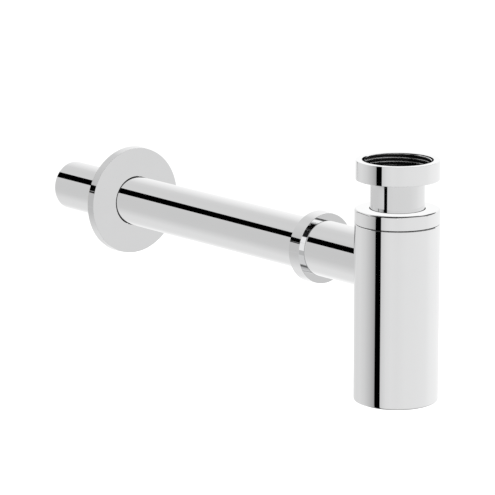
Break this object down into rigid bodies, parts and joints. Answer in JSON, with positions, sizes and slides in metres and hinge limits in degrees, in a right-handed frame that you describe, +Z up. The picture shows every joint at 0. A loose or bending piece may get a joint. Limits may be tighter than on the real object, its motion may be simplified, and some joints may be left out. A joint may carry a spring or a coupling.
{
  "type": "basin trap",
  "caption": "Chrome bottle trap for a wash basin: cylindrical bottle with a screwed cap, dip tube with a union nut, and a straight outlet tube with a wall flange.",
  "frame": {"origin": "on the inlet axis, on the sealing face of the inlet washer, where the basin's waste seats", "axes": "+Z up along the inlet, towards the basin; +Y along the outlet tube, towards the wall; +X completes the right-handed frame"},
  "size_m": [0.0708, 0.3432, 0.1446],
  "materials": {
    "chrome": "mirror-polished chrome plate on brass",
    "rubber": "matt black moulded rubber",
    "plastic": "natural white moulded plastic"
  },
  "bodies": {
    "inlet": {"inlet_tube": "chrome", "inlet_washer": "rubber"},
    "inlet_union": {"inlet_nut": "chrome"},
    "seal_set": {"cap_seal": "rubber"},
    "bottle_body": {"bottle": "chrome"},
    "cap_ring": {"cap_slip_ring": "plastic"},
    "cap_body": {"cap": "chrome"},
    "outlet_gasket": {"outlet_washer": "rubber"},
    "outlet": {"outlet_tube": "chrome", "outlet_nut": "chrome"},
    "flange": {"wall_flange": "chrome", "flange_grip_ring": "rubber"}
  },
  "joints": [
    {"name": "inlet_nut_spin", "type": "hinge", "parent": "inlet", "child": "inlet_union", "pos_m": [0, 0, 0], "axis": [0, 0, 1], "continuous": true},
    {"name": "height_adjust", "type": "slide", "parent": "inlet", "child": "seal_set", "axis": [0, 0, 1], "range_m": [-0.025, 0.01]},
    {"name": "bottle_swivel", "type": "hinge", "parent": "seal_set", "child": "bottle_body", "pos_m": [0, 0, 0], "axis": [0, 0, 1], "continuous": true},
    {"name": "cap_rise", "type": "slide", "parent": "bottle_body", "child": "cap_ring", "axis": [0, 0, 1], "range_m": [0, 0.006]},
    {"name": "cap_unscrew", "type": "hinge", "parent": "cap_ring", "child": "cap_body", "pos_m": [0, 0, 0], "axis": [0, 0, 1], "range_deg": [0, 1440]},
    {"name": "outlet_back_off", "type": "slide", "parent": "bottle_body", "child": "outlet_gasket", "axis": [0, 1, 0], "range_m": [0, 0.0045]},
    {"name": "outlet_unscrew", "type": "hinge", "parent": "outlet_gasket", "child": "outlet", "pos_m": [0, 0, -0.0568], "axis": [0, 1, 0], "range_deg": [0, 1080]},
    {"name": "flange_slide", "type": "slide", "parent": "outlet", "child": "flange", "axis": [0, 1, 0], "range_m": [-0.176, 0.058]}
  ],
  "couplings": [
    {"joint": "cap_rise", "follows": "cap_unscrew", "m_per_rad": 0.00023873},
    {"joint": "outlet_back_off", "follows": "outlet_unscrew", "m_per_rad": 0.00023873}
  ]
}
